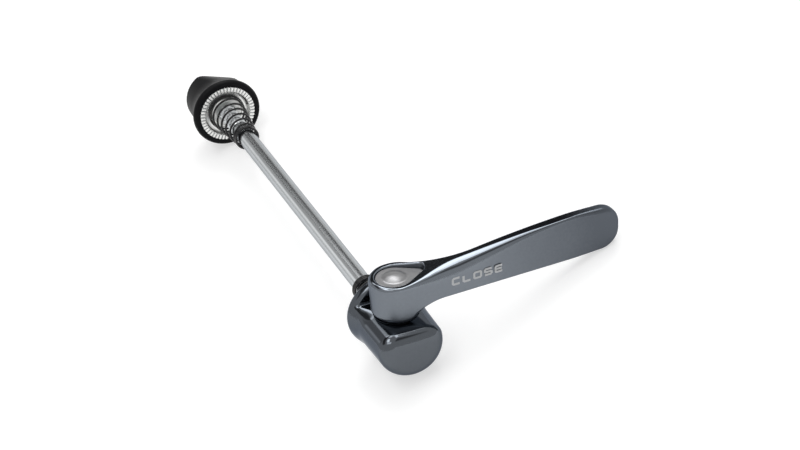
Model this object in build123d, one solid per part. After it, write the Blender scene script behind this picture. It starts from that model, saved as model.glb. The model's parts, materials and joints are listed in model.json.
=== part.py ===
from build123d import *
from math import asin, atan, atan2, cos, degrees, hypot, pi, radians, sin, tan
import os

# Quick release skewer of a front bicycle hub, lever closed, lying on a table.
# Lengths are millimetres. The frame's origin is the middle of the lever side clamp face,
# +Y runs along the rod towards the nut, and the closed lever points to +X.
# The pieces are modelled with the lever's pivot upright along +Z, then rolled into their rest.

# Rod
rod_diameter = 5.0
thread_pitch_diameter = 4.48
thread_length = 24.0
rod_tip_chamfer = 0.6
rod_past_nut_thread = 2.5
clamp_span = 115.0
eye_thickness = 4.6
eye_wall = 1.6

# Clearances
running_clearance = 0.05
seat_clearance = 0.02
cam_slot_clearance = 0.3
eye_side_clearance = 0.15
cavity_clearance = 0.3
thread_clearance = 0.06
spring_rod_clearance = 0.4
spring_seat_clearance = 0.1

# Cam shaft
cam_throw = 1.1
cam_radius = 2.8
journal_radius = 4.2
pilot_radius = 1.6
pilot_length = 3.6
pilot_groove_depth = 0.5
pilot_groove_width = 1.7
head_thickness = 0.7
head_clearance = 0.1
dome_radius = 2.95
dome_height = 0.8

# Housing of the cam, a turned and milled forging
flange_radius = 9.45
flange_thickness = 2.2
flange_setback = 0.35
flange_front_fillet = 0.7
flange_back_fillet = 1.0
flange_back_angle = 32.0
flange_back_drop = 1.4
housing_root_radius = 8.65
housing_end_radius = 7.95
housing_length = 19.9
housing_end_crown = 0.6
housing_end_fillet = 2.2
cam_axis_offset = 9.3
saddle_height = 4.45
saddle_wall = 2.7
saddle_flank_fillet = 3.0

# Clamp disc in the housing, and the pin that keeps the cam shaft in
disc_radius = 7.7
disc_ring_width = 1.6
disc_dish_depth = 1.2
disc_floor_thickness = 0.7
disc_floor_fillet = 0.4
pin_radius = 0.75
pin_end_chamfer = 0.2
pin_past_cam_axis = 2.0

# Lever
lever_length = 58.3
barrel_radius = 6.0
barrel_draft_degrees = 1.4
barrel_top = 14.5
washer_thickness = 0.4
washer_outer_radius = 5.4
washer_seat_depth = 0.3
arm_bottom = 8.5
notch_start = 2.0
arm_start = 10.5
arm_thickness = 4.1
arm_tip_thickness = 3.1
arm_lean = 2.9
arm_top_at_tip = 20.0
arm_top_rise = 1.3
rim_flat_reach = 2.0
tip_lower_radius = 5.0
tip_upper_radius = 5.0
tip_round_share = 0.45
neck_blend_radius = 24.0
lever_edge_fillet = 0.9
recess_radius = 4.7
recess_reach = 7.6
recess_tip_radius = 1.1
recess_depth = 0.35

# Nut
nut_ring_radius = 8.14
nut_ring_width = 1.5
nut_ring_thickness = 3.6
nut_dish_depth = 1.6
nut_boss_radius = 4.6
nut_boss_recess = 0.6
nut_shank_radius = 5.4
nut_shank_length = 9.6
nut_lock_radius = 4.0
nut_lock_length = 2.2
cover_rim_radius = 10.15
cover_rim_setback = 0.3
cover_rim_depth = 1.35
cover_waist_radius = 8.6
cover_waist_depth = 4.6
cover_waist_fillet = 5.0
cover_end_radius = 8.35
cover_length = 14.2
cover_end_fillet = 1.8
cover_rod_hole_radius = 3.3
cover_flat_half_width = 5.6
cover_flat_start = 4.5
cover_flat_turn = 17.0

# Serrations of both clamp faces
tooth_count = 48
tooth_depth = 0.45
tooth_crest = 0.2

# Conical springs
spring_wire_diameter = 0.6
spring_wire_sides = 8
lever_spring_length = 12.0
lever_spring_turns = 6.5
nut_spring_length = 18.0
nut_spring_turns = 8.5

# Sizes that follow from the ones above
rod_radius = rod_diameter / 2
wire_radius = spring_wire_diameter / 2
cam_axis = -cam_axis_offset
journal_bore = journal_radius + running_clearance
washer_seat = saddle_height - washer_seat_depth
barrel_bottom = washer_seat + washer_thickness + running_clearance
head_top = barrel_top - recess_depth
head_bottom = head_top - head_thickness
slot_half = rod_radius + running_clearance
cam_bottom = -slot_half
pilot_bottom = cam_bottom - pilot_length
eye_half_x = cam_radius + cam_throw + eye_side_clearance + eye_wall
eye_half_y = cam_radius + cam_slot_clearance + eye_wall
eye_center = cam_axis - cam_throw
cavity_end = eye_center - eye_half_y - cavity_clearance
disc_back = disc_dish_depth + disc_floor_thickness
nut_lock_start = clamp_span + nut_shank_length
rod_end = nut_lock_start + nut_lock_length + rod_past_nut_thread - 2 * rod_tip_chamfer
nut_bore = thread_pitch_diameter / 2 + thread_clearance

# The part lies on the rim of the nut cover and on the lever's lower tip corner
tip_height = arm_top_at_tip - arm_bottom
tip_lower = min(tip_lower_radius, tip_round_share * tip_height)
tip_upper = min(tip_upper_radius, tip_round_share * tip_height)
tip_corner_x = lever_length - tip_lower
tip_corner_z = arm_bottom + tip_lower
rest_roll = degrees(
    atan2(tip_corner_z, tip_corner_x)
    + asin((cover_rim_radius - tip_lower) / hypot(tip_corner_x, tip_corner_z))
)


def nearest_vertex(shape, x, y):
    """The corner of a flat outline that lies nearest to a point."""
    return shape.vertices().sort_by_distance((x, y, 0))[0]


def rounded(outline, corners):
    """A closed outline with its listed corners rounded, each given as x, y and radius."""
    face = make_face(Polyline(*outline, close=True))
    for x, y, radius in corners:
        face = fillet(nearest_vertex(face, x, y), radius)
    return face


def turned(outline, corners=()):
    """A body turned about the rod's axis from radius and station pairs."""
    return revolve(rounded(outline, corners), Axis.Y)


def rod_cylinder(radius, start, end):
    """A cylinder on the rod's axis between two stations."""
    place = Pos(0, start, 0) * Rot(-90, 0, 0)
    return place * Cylinder(radius, end - start, align=(Align.CENTER, Align.CENTER, Align.MIN))


def cam_cylinder(radius, bottom, top, offset=0.0):
    """An upright cylinder on the cam's axis, or off it by an offset along the rod."""
    place = Pos(0, cam_axis + offset, bottom)
    return place * Cylinder(radius, top - bottom, align=(Align.CENTER, Align.CENTER, Align.MIN))


def serrations(outer_radius, ring_width, station, outward):
    """The V grooves between the radial teeth of a clamp face."""
    mid_radius = outer_radius - ring_width / 2
    groove_width = 2 * pi * mid_radius / tooth_count - tooth_crest
    tip_depth = tooth_depth * outward
    margin = tooth_depth
    spread = groove_width / 2 * (1 + margin / tooth_depth)
    groove = make_face(
        Polyline((-spread, -margin * outward), (0, tip_depth), (spread, -margin * outward), close=True)
    )
    reach = ring_width + 2 * margin
    bar = extrude(Plane.YZ.offset(mid_radius - reach / 2) * Rot(0, 0, -90) * groove, reach)
    turn = 360 / tooth_count
    cuts = [Rot(0, turn * (tooth + 0.5), 0) * bar for tooth in range(tooth_count)]
    return [Pos(0, station, 0) * cut for cut in cuts]


def teardrop(radius, reach, tip_radius):
    """A round pad on the cam's axis drawn out to a small rounded tip along the lever."""
    tip_x = reach - tip_radius
    lean = asin((radius - tip_radius) / tip_x)
    root = (radius * sin(lean), radius * cos(lean))
    end = (tip_x + tip_radius * sin(lean), tip_radius * cos(lean))
    flanks = make_face(Polyline((root[0], -root[1]), (end[0], -end[1]), end, root, close=True))
    return Circle(radius) + flanks + Pos(tip_x, 0) * Circle(tip_radius)


def housing_section(station):
    """The housing's section across the rod: round, with a flat saddle and rounded flanks."""
    share = (-station - saddle_wall) / (housing_length - saddle_wall)
    radius = housing_root_radius + (housing_end_radius - housing_root_radius) * share
    above = Pos(0, saddle_height) * Rectangle(4 * radius, 4 * radius, align=(Align.CENTER, Align.MIN))
    outline = Circle(radius) - above
    outline = fillet(outline.vertices(), saddle_flank_fillet)
    return Plane((0, station, 0), x_dir=(1, 0, 0), z_dir=(0, -1, 0)) * outline


def cam_housing():
    crown_station = -housing_length - housing_end_crown
    crown_radius = (housing_end_radius**2 + housing_end_crown**2) / (2 * housing_end_crown)
    body = loft([housing_section(-saddle_wall), housing_section(crown_station)], ruled=True)
    body &= Pos(0, crown_station + crown_radius, 0) * Sphere(crown_radius)
    end_cap = body.faces().sort_by(Axis.Y)[0]
    body = fillet(end_cap.edges(), housing_end_fillet)

    # The flange slopes down to the body, and ends in a wall behind the saddle
    slope_depth = flange_back_drop / tan(radians(flange_back_angle))
    outline = [
        (0, -flange_setback),
        (flange_radius, -flange_setback),
        (flange_radius, -flange_thickness),
        (flange_radius - flange_back_drop, -flange_thickness - slope_depth),
        (0, -flange_thickness - slope_depth),
    ]
    corners = [
        (flange_radius, -flange_setback, flange_front_fillet),
        (flange_radius, -flange_thickness, flange_back_fillet),
    ]
    saddle_size = 4 * flange_radius
    saddle = Pos(0, -saddle_wall, saddle_height) * Box(
        saddle_size, saddle_size, saddle_size, align=(Align.CENTER, Align.MAX, Align.MIN)
    )
    body += turned(outline, corners) - saddle

    # Washer seat, and bores for the cam shaft, the rod's eye, the clamp disc and the retaining pin
    body -= cam_cylinder(washer_outer_radius + seat_clearance, washer_seat, flange_radius)
    body -= cam_cylinder(journal_bore, -slot_half, flange_radius)
    body -= cam_cylinder(pilot_radius + running_clearance, pilot_bottom - cavity_clearance, 0)
    cavity_half_x = eye_half_x + cavity_clearance
    cavity_length = -cavity_end
    cavity = make_face(
        Polyline(
            (-cavity_half_x, 0), (cavity_half_x, 0), (cavity_half_x, -cavity_length),
            (-cavity_half_x, -cavity_length), close=True,
        )
    )
    cavity = fillet(cavity.vertices().group_by(Axis.Y)[0], eye_half_y)
    body -= extrude(Pos(0, 0, -slot_half) * cavity, 2 * slot_half)
    body -= rod_cylinder(disc_radius + seat_clearance, -disc_back - seat_clearance, 0)
    body -= pin_place() * Cylinder(
        pin_radius + seat_clearance, pin_length(), align=(Align.CENTER, Align.CENTER, Align.MIN)
    )
    return body


def pin_length():
    return -disc_back - (cam_axis - pin_past_cam_axis)


def pin_place():
    """The retaining pin lies beside the pilot, along the rod and under the eye."""
    groove_radius = pilot_radius - pilot_groove_depth
    beside = groove_radius + pin_radius + running_clearance
    level = cam_bottom - pilot_length / 2
    return Pos(beside, cam_axis - pin_past_cam_axis, level) * Rot(-90, 0, 0)


def cam_retaining_pin():
    pin = Cylinder(pin_radius, pin_length(), align=(Align.CENTER, Align.CENTER, Align.MIN))
    return pin_place() * chamfer(pin.edges(), pin_end_chamfer)


def clamp_disc():
    ring_inner = disc_radius - disc_ring_width
    outline = [
        (rod_radius + running_clearance, -disc_back),
        (disc_radius, -disc_back),
        (disc_radius, 0),
        (ring_inner, 0),
        (ring_inner, -disc_dish_depth),
        (rod_radius + running_clearance, -disc_dish_depth),
    ]
    corners = [(ring_inner, -disc_dish_depth, disc_floor_fillet)]
    disc = turned(outline, corners)
    return disc - serrations(disc_radius, disc_ring_width, 0, -1)


def thrust_washer():
    ring = Circle(washer_outer_radius) - Circle(journal_bore)
    return extrude(Pos(0, cam_axis, washer_seat) * ring, washer_thickness)


def lever():
    # Seen along the pivot, a barrel whose front runs straight into the leaning arm
    tip_front = -barrel_radius + arm_lean
    lean = asin(barrel_radius / hypot(lever_length, tip_front)) + atan2(tip_front, lever_length)
    front = [(barrel_radius * sin(lean), -barrel_radius * cos(lean)), (lever_length, tip_front)]
    across = (-sin(lean), cos(lean))
    root_back = (front[0][0] + arm_thickness * across[0], front[0][1] + arm_thickness * across[1])
    tip_back = (lever_length, tip_front + arm_tip_thickness / cos(lean))
    arm = make_face(Polyline(*front, tip_back, root_back, (0, 0), close=True))
    plan = Circle(barrel_radius) + arm
    inner_corner = nearest_vertex(plan, barrel_radius, root_back[1])
    plan = fillet(inner_corner, neck_blend_radius)
    blank_height = arm_top_at_tip + arm_top_rise - barrel_bottom
    blank = extrude(Pos(0, 0, barrel_bottom) * plan, blank_height, taper=-barrel_draft_degrees)

    # Seen from outside the wheel, the flat rim, the rising arm and its round tip
    heel = -2 * barrel_radius
    notch_run = arm_start - notch_start
    notch_drop = arm_bottom - barrel_bottom
    notch_radius = (notch_run**2 + notch_drop**2) / (2 * notch_drop)
    notch_middle = (
        arm_start - notch_run / 2,
        arm_bottom - notch_radius + (notch_radius**2 - notch_run**2 / 4) ** 0.5,
    )
    top_start = (rim_flat_reach, barrel_top)
    top_end = (lever_length, arm_top_at_tip)
    top_middle = (
        (top_start[0] + top_end[0]) / 2,
        (top_start[1] + top_end[1]) / 2 + arm_top_rise,
    )
    side = make_face(
        [
            Line((heel, barrel_bottom), (notch_start, barrel_bottom)),
            ThreePointArc((notch_start, barrel_bottom), notch_middle, (arm_start, arm_bottom)),
            Line((arm_start, arm_bottom), (lever_length, arm_bottom)),
            Line((lever_length, arm_bottom), top_end),
            ThreePointArc(top_end, top_middle, top_start),
            Line(top_start, (heel, barrel_top)),
            Line((heel, barrel_top), (heel, barrel_bottom)),
        ]
    )
    side = fillet(nearest_vertex(side, lever_length, arm_bottom), tip_lower)
    side = fillet(nearest_vertex(side, *top_end), tip_upper)
    depth = 3 * barrel_radius
    outline = extrude(Plane.XZ * side, depth, both=True)
    body = blank & outline
    body = fillet(body.edges(), lever_edge_fillet)

    # Bore and keyed recess for the cam shaft and its head
    body -= Cylinder(journal_radius + seat_clearance, 4 * barrel_top)
    pad = teardrop(recess_radius, recess_reach, recess_tip_radius)
    body -= extrude(Pos(0, 0, head_bottom) * pad, 2 * barrel_top)
    return Pos(0, cam_axis, 0) * body


def cam_shaft():
    shaft = cam_cylinder(journal_radius, slot_half, head_top)
    pad = teardrop(
        recess_radius - head_clearance, recess_reach - head_clearance, recess_tip_radius - head_clearance
    )
    shaft += extrude(Pos(0, cam_axis, head_bottom) * pad, head_thickness)
    sphere_radius = (dome_radius**2 + dome_height**2) / (2 * dome_height)
    dome_center = head_top + dome_height - sphere_radius
    dome = Pos(0, cam_axis, dome_center) * Sphere(sphere_radius)
    shaft += dome & cam_cylinder(dome_radius, head_bottom, head_top + dome_height)
    shaft += cam_cylinder(cam_radius, cam_bottom, slot_half, -cam_throw)
    shaft += cam_cylinder(pilot_radius, pilot_bottom, cam_bottom)
    level = cam_bottom - pilot_length / 2
    groove = cam_cylinder(
        pilot_radius + seat_clearance, level - pilot_groove_width / 2, level + pilot_groove_width / 2
    )
    groove -= cam_cylinder(pilot_radius - pilot_groove_depth, pilot_bottom, cam_bottom)
    return shaft - groove


def skewer_rod():
    eye = extrude(
        Pos(0, eye_center, -eye_thickness / 2) * SlotCenterToCenter(2 * (eye_half_x - eye_half_y), 2 * eye_half_y),
        eye_thickness,
    )
    shank_start = eye_center
    thread_start = rod_end - thread_length
    rod = rod_cylinder(rod_radius, shank_start, thread_start)
    tip = rod_cylinder(thread_pitch_diameter / 2, thread_start, rod_end)
    tip = chamfer(tip.edges().sort_by(Axis.Y)[-1], rod_tip_chamfer)
    body = eye + rod + tip
    slot_height = 2 * (cam_radius + cam_slot_clearance)
    slot_width = 2 * (cam_throw + eye_side_clearance)
    slot = SlotCenterToCenter(slot_width, slot_height)
    return body - extrude(Pos(0, eye_center, -eye_thickness) * slot, 2 * eye_thickness)


def conical_spring(wide_radius, narrow_radius, length, turns):
    """A wire wound on a cone, wide end at the start, narrow end towards +Z."""
    slope = atan((wide_radius - narrow_radius) / length)
    slant = length / cos(slope)
    path = Helix(slant / turns, slant, wide_radius, cone_angle=-degrees(slope))
    start = Plane(path @ 0, z_dir=path % 0)
    return sweep(start * RegularPolygon(wire_radius, spring_wire_sides), path=path, is_frenet=True)


def narrow_coil_radius():
    return rod_radius + spring_rod_clearance + wire_radius


def lever_spring():
    wide = disc_radius - disc_ring_width - disc_floor_fillet - spring_seat_clearance - wire_radius
    coil = conical_spring(wide, narrow_coil_radius(), lever_spring_length, lever_spring_turns)
    seat = -disc_dish_depth + wire_radius + spring_seat_clearance
    return Pos(0, seat, 0) * Rot(-90, 0, 0) * coil


def nut_spring():
    wide = nut_boss_radius + 2 * spring_seat_clearance + wire_radius
    coil = conical_spring(wide, narrow_coil_radius(), nut_spring_length, nut_spring_turns)
    seat = clamp_span + nut_dish_depth - wire_radius - spring_seat_clearance
    return Pos(0, seat, 0) * Rot(90, 0, 0) * coil


def nut_insert():
    ring_inner = nut_ring_radius - nut_ring_width
    boss_front = clamp_span + nut_boss_recess
    floor = clamp_span + nut_dish_depth
    shank_end = nut_lock_start + nut_lock_length
    outline = [
        (nut_bore, boss_front),
        (nut_boss_radius, boss_front),
        (nut_boss_radius, floor),
        (ring_inner - tooth_depth, floor),
        (ring_inner, clamp_span),
        (nut_ring_radius, clamp_span),
        (nut_ring_radius, clamp_span + nut_ring_thickness),
        (nut_shank_radius, clamp_span + nut_ring_thickness),
        (nut_shank_radius, shank_end),
        (nut_lock_radius, shank_end),
        (nut_lock_radius, nut_lock_start),
        (nut_bore, nut_lock_start),
    ]
    corners = [
        (nut_boss_radius, boss_front, nut_boss_recess),
        (ring_inner - tooth_depth, floor, nut_boss_recess),
    ]
    insert = turned(outline, corners)
    return insert - serrations(nut_ring_radius, nut_ring_width, clamp_span, 1)


def nut_lock_ring():
    ring = rod_cylinder(nut_lock_radius - seat_clearance, nut_lock_start, nut_lock_start + nut_lock_length)
    return ring - rod_cylinder(nut_bore, clamp_span, rod_end)


def nut_cover():
    front = clamp_span + cover_rim_setback
    end = clamp_span + cover_length
    ring_back = clamp_span + nut_ring_thickness
    outline = [
        (nut_ring_radius + seat_clearance, front),
        (cover_rim_radius - cover_rim_depth / 2, front),
        (cover_rim_radius, clamp_span + cover_rim_depth),
        (cover_waist_radius, clamp_span + cover_waist_depth),
        (cover_end_radius, end),
        (cover_rod_hole_radius, end),
        (cover_rod_hole_radius, nut_lock_start + nut_lock_length),
        (nut_shank_radius + seat_clearance, nut_lock_start + nut_lock_length),
        (nut_shank_radius + seat_clearance, ring_back),
        (nut_ring_radius + seat_clearance, ring_back),
    ]
    corners = [
        (cover_rim_radius, clamp_span + cover_rim_depth, cover_rim_depth / 2),
        (cover_waist_radius, clamp_span + cover_waist_depth, cover_waist_fillet),
        (cover_end_radius, end, cover_end_fillet),
    ]
    cover = turned(outline, corners)

    # Two finger flats lean in towards the end
    flat_run = cover_length - cover_flat_start
    flat_lean = degrees(atan((cover_waist_radius - cover_flat_half_width) / flat_run))
    size = 4 * cover_rim_radius
    block = Box(size, size, size, align=(Align.CENTER, Align.MIN, Align.MIN))
    for turn in (cover_flat_turn, cover_flat_turn + 180):
        place = Rot(0, turn, 0) * Pos(0, clamp_span + cover_flat_start, cover_waist_radius)
        cover -= place * Rot(-flat_lean, 0, 0) * block
    return cover


pieces = {
    "cam_housing": cam_housing(),
    "clamp_disc": clamp_disc(),
    "cam_retaining_pin": cam_retaining_pin(),
    "thrust_washer": thrust_washer(),
    "lever_spring": lever_spring(),
    "lever": lever(),
    "cam_shaft": cam_shaft(),
    "skewer_rod": skewer_rod(),
    "nut_spring": nut_spring(),
    "nut_cover": nut_cover(),
    "nut_insert": nut_insert(),
    "nut_lock_ring": nut_lock_ring(),
}

os.makedirs("parts", exist_ok=True)
for name, piece in pieces.items():
    export_step(Rot(0, rest_roll, 0) * piece, f"parts/{name}.step")
print(f"rest roll {rest_roll:.2f} degrees, rod end at {rod_end:.2f}")
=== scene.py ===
# %% [markdown]
# # A quick release skewer, closed and lying on a table
# A thin steel rod goes through a bicycle hub. A cam lever in a round housing pulls it tight from one
# end, and a toothed nut with a black cover holds the other end. The CAD model is loaded first, as a
# frame that stays where it is. Each piece made below takes the place of one CAD solid, or is added
# to one.

# %% Load the frame
import json
from math import asin, atan2, cos, degrees, hypot, pi, radians, sin, tan

import bpy
import numpy as np
from mathutils import Matrix, Vector


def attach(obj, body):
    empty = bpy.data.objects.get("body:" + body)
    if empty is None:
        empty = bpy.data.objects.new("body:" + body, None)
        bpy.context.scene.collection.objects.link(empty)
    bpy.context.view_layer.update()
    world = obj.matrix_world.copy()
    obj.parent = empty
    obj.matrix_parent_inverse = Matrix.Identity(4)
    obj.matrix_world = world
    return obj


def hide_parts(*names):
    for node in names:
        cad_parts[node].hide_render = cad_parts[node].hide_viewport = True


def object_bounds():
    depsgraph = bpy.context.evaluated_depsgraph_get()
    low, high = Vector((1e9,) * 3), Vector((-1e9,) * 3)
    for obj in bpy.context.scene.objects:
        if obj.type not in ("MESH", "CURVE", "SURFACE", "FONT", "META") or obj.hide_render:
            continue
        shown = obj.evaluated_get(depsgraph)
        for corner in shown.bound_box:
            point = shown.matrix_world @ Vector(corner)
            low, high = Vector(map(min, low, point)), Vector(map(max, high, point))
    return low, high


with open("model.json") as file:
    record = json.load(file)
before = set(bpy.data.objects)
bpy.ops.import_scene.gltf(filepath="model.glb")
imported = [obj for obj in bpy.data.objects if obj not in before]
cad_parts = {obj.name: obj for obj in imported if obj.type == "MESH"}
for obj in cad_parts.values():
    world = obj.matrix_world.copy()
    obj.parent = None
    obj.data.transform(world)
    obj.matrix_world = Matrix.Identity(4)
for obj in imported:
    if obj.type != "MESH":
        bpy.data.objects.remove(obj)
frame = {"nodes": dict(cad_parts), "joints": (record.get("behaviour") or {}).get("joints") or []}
nodes = frame["nodes"]
cad_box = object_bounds()
print("nodes:", ", ".join(sorted(nodes)))

# %% [markdown]
# ## The upright frame
# At rest the skewer is rolled about its rod, so that the lever's tip touches the table. Shapes are far
# easier to describe with the lever's pivot upright: x along the closed lever, y along the rod and z
# along the pivot, in millimetres from the middle of the lever side clamp face. The roll is read from
# the lever's hinge in the frame, and one function takes points from the upright frame to the scene.

# %% Upright frame
MM = 0.001
joints = {joint["name"]: joint for joint in frame["joints"]}
pivot = joints["lever_swing"]
roll = atan2(-pivot["axis"][0], -pivot["axis"][2])
turn = np.array(Matrix.Rotation(roll, 3, "Y"))
cam_station = pivot["pos_m"][1] / MM
nut_station = joints["nut_turn"]["pos_m"][1] / MM


def to_scene(points):
    """Upright millimetres to scene metres."""
    return np.asarray(points) @ turn.T * MM


def upright_box(node):
    """Lowest and highest corner of a CAD node, in upright millimetres."""
    points = np.array([vertex.co for vertex in nodes[node].data.vertices]) / MM @ turn
    return points.min(0), points.max(0)


print(f"roll {degrees(roll):.2f} degrees, pivot at {cam_station:.2f}, nut at {nut_station:.2f}")

# %% [markdown]
# ## Solids as fields
# The lever and the housing are forged and then plated, so that every edge is a soft round which changes
# along its length, and gloss shows each dent in a mesh. Polygon modelling with bevels would leave
# pinches where rounds meet. A field is kinder: a function that is negative inside the metal and
# positive outside. Two fields meet, or join, with a round of any radius, and the radius may change
# from place to place.

# %% Field tools
def meet(a, b, radius):
    """What two fields share, with the edge between them rounded."""
    corner = np.hypot(np.maximum(radius + a, 0), np.maximum(radius + b, 0))
    return np.minimum(np.maximum(a, b), -radius) + corner


def join(a, b, radius):
    """Two fields together, with a fillet in the corner between them."""
    corner = np.hypot(np.maximum(radius - a, 0), np.maximum(radius - b, 0))
    return np.maximum(np.minimum(a, b), radius) - corner


def blend(a, b, reach):
    """Two fields together where they cross at a flat angle, eased over a reach."""
    near = np.maximum(reach - np.abs(a - b), 0) / reach
    return np.minimum(a, b) - near**2 * reach / 4


def between(value, low, high):
    """A slab: negative between two levels."""
    return np.maximum(low - value, value - high)


print(f"a round of 1 mm takes {meet(0.0, 0.0, 1.0):.2f} mm off a square corner")


# %% Steps and outlines
def ease(value, start, end):
    """0 before start, 1 after end, and a smooth step between."""
    share = np.clip((value - start) / (end - start), 0, 1)
    return share * share * (3 - 2 * share)


def swell(value, rise_start, rise_end, fall_start, fall_end):
    """A smooth step up followed by a smooth step down; the two may overlap."""
    return ease(value, rise_start, rise_end) * (1 - ease(value, fall_start, fall_end))


def teardrop(x, y, radius, reach, tip_radius):
    """A round pad at the origin drawn out to a small round tip along x."""
    run = reach - tip_radius
    slope = (radius - tip_radius) / run
    level = (1 - slope**2) ** 0.5
    side = np.abs(y)
    along = level * x - slope * side
    flank = level * side + slope * x - radius
    round_end = np.hypot(x, y) - radius
    tip = np.hypot(x - run, y) - tip_radius
    return np.where(along < 0, round_end, np.where(along > level * run, tip, flank))


# %% [markdown]
# ## From a field to a mesh
# Remeshing a volume leaves steps, which gloss would show. Surface nets do better: space is cut into
# small cells, each cell that the surface passes gets one point, and cells that share a crossed edge
# are joined by a quad. Each point is pulled on to the exact surface with the field's slope, which is
# also its shading normal. How sharply the surface bends is kept for the finishes, to brighten worn
# edges.

# %% Points and quads of a net
unit = np.eye(3, dtype=int)
cell_corners = np.array([[i, j, k] for i in (0, 1) for j in (0, 1) for k in (0, 1)])


def net_points(value, cells):
    """In each crossed cell, the middle of the places where the surface crosses its edges, in cells."""
    total, hits = np.zeros((len(cells), 3)), np.zeros((len(cells), 1))
    for start in cell_corners:
        for axis in np.flatnonzero(start == 0):
            end = start + unit[axis]
            a, b = value[tuple((cells + start).T)], value[tuple((cells + end).T)]
            crossed = ((a < 0) != (b < 0))[:, None]
            share = (a / np.where(a == b, 1, a - b))[:, None]
            total += np.where(crossed, start + (end - start) * share, 0)
            hits += crossed
    return cells + total / hits


def net_quads(inside, number):
    """A quad round every grid edge that the surface crosses, facing outwards."""
    quads = []
    for axis in range(3):
        step_b, step_c = unit[(axis + 1) % 3], unit[(axis + 2) % 3]
        near = np.take(inside, range(inside.shape[axis] - 1), axis)
        far = np.take(inside, range(1, inside.shape[axis]), axis)
        at = np.argwhere(near != far)
        ring = [at - step_b - step_c, at - step_c, at, at - step_b]
        quad = np.stack([number[tuple(spot.T)] for spot in ring], axis=1)
        outward = near[tuple(at.T)][:, None]
        quads.append(np.where(outward, quad, quad[:, ::-1]))
    return np.vstack(quads)


# %% Skin a field
pulls = 4
least_slope = 0.2
edge_reach = 1.2
margin = 0.6


def slope_of(field, points, step=0.004):
    """Which way the field grows, and how fast, measured across a tiny step."""
    shifts = np.eye(3) * step
    return np.stack([field(points + s) - field(points - s) for s in shifts], axis=-1) / (2 * step)


def add_object(name, data):
    """An object in the scene, at the origin."""
    item = bpy.data.objects.new(name, data)
    bpy.context.scene.collection.objects.link(item)
    return item


def new_object(name, points, faces, normals=None):
    """A smooth mesh object from scene points."""
    mesh = bpy.data.meshes.new(name)
    mesh.from_pydata(np.asarray(points).tolist(), [], faces)
    mesh.shade_smooth()
    if normals is not None:
        mesh.normals_split_custom_set_from_vertices(normals.tolist())
    return add_object(name, mesh)


def skin(name, field, low, high, cell):
    """A smooth mesh over a field's zero surface, between two upright corners and a margin."""
    low = np.array(low - margin, float)
    axes = [np.arange(a, b + 2 * cell, cell) for a, b in zip(low, high + margin)]
    value = field(np.stack(np.meshgrid(*axes, indexing="ij"), axis=-1))
    inside = value < 0
    size = np.array(inside.shape) - 1
    count = sum(
        inside[i : i + size[0], j : j + size[1], k : k + size[2]].astype(int) for i, j, k in cell_corners
    )
    cells = np.argwhere((count > 0) & (count < len(cell_corners)))
    number = np.full(size, -1)
    number[tuple(cells.T)] = np.arange(len(cells))
    points = low + cell * net_points(value, cells)
    quads = net_quads(inside, number)
    for _ in range(pulls):
        slope = slope_of(field, points)
        steepness = np.maximum((slope**2).sum(1), least_slope)
        points = points - field(points)[:, None] * slope / steepness[:, None]
    slope = slope_of(field, points)
    normals = slope / np.linalg.norm(slope, axis=1, keepdims=True)
    piece = new_object(name, to_scene(points), quads.tolist(), normals @ turn.T)
    reach = edge_reach * cell
    bend = sum(field(points + s) + field(points - s) for s in np.eye(3) * reach) / reach
    edge = piece.data.attributes.new("edge", "FLOAT", "POINT")
    edge.data.foreach_set("value", np.clip(bend, 0, 1).astype(np.float32))
    print(f"{name}: {len(points)} points, {len(quads)} quads")
    return piece


# %% [markdown]
# ## The lever
# Seen along its pivot, the lever is a round barrel whose front runs straight into a thin arm, with a
# generous hollow on the wheel side. Seen from the front it is a flat rim that rises into a gently
# arched arm with a round tip, and a hollow under the neck. A subdivided box would never get a quite
# round barrel, so the two outlines meet as in a band saw cut from two sides. The edge between them is
# rounded: wide where a thumb pushes, and tight towards the tip. The recess on top takes the head of
# the cam shaft.

# %% Lever sizes
lever_low, lever_high = upright_box("lever")
lever_length = lever_high[0] - 0.04
barrel_bottom = lever_low[2]
barrel_radius = 6.0
draft = tan(radians(1.4))
barrel_top = 14.5
arm_lean = 2.9
arm_root, arm_tip = 4.1, 3.1
neck_radius = 24.0
neck_depth = 3.0
arm_bottom = 8.5
hollow_start, hollow_end = 2.0, 10.5
arm_top_at_tip = 20.0
arm_top_rise = 1.3
rim_flat = 2.0
tip_radius = 5.0
recess = (4.7, 7.6, 1.9)
head_top = barrel_top - 0.35
head_bottom = head_top - 0.7
bore_radius = 4.22
ease_run = 2.2
front_lie_back = 1.15
lie_back_span = (14.0, 36.0, 46.0, 56.0)
rim_ease = 0.9
hollow_round = 1.4

tip_front = arm_lean - barrel_radius
lean = asin(barrel_radius / hypot(lever_length, tip_front)) + atan2(tip_front, lever_length)
taper = atan2(arm_root - arm_tip, lever_length)
print(f"the lever is {lever_length:.2f} mm long, its front leans {degrees(lean):.2f} degrees")

# %% The curve from the barrel's front to the arm's front
powers = np.arange(6)


def terms(s):
    """The terms of a polynomial at s, and those of its slope and its bend."""
    slope = powers * s ** np.maximum(powers - 1.0, 0)
    bend = powers * (powers - 1) * s ** np.maximum(powers - 2.0, 0)
    return [s**powers, slope, bend]


# Round at one end, flat at the other, with no jump in place, slope or bend
barrel_depth = (barrel_radius**2 - ease_run**2) ** 0.5
round_end = [barrel_depth, ease_run / barrel_depth, -(barrel_radius**2) / barrel_depth**3]
flat_end = [barrel_radius + ease_run**2 / (6 * barrel_radius), 0, 0]
factors = np.linalg.solve(terms(-ease_run) + terms(ease_run), round_end + flat_end)
front_curve = np.polynomial.Polynomial(factors)
front_slope = front_curve.deriv()
print(f"the arm's front lies {flat_end[0]:.3f} mm before the pivot")


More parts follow.
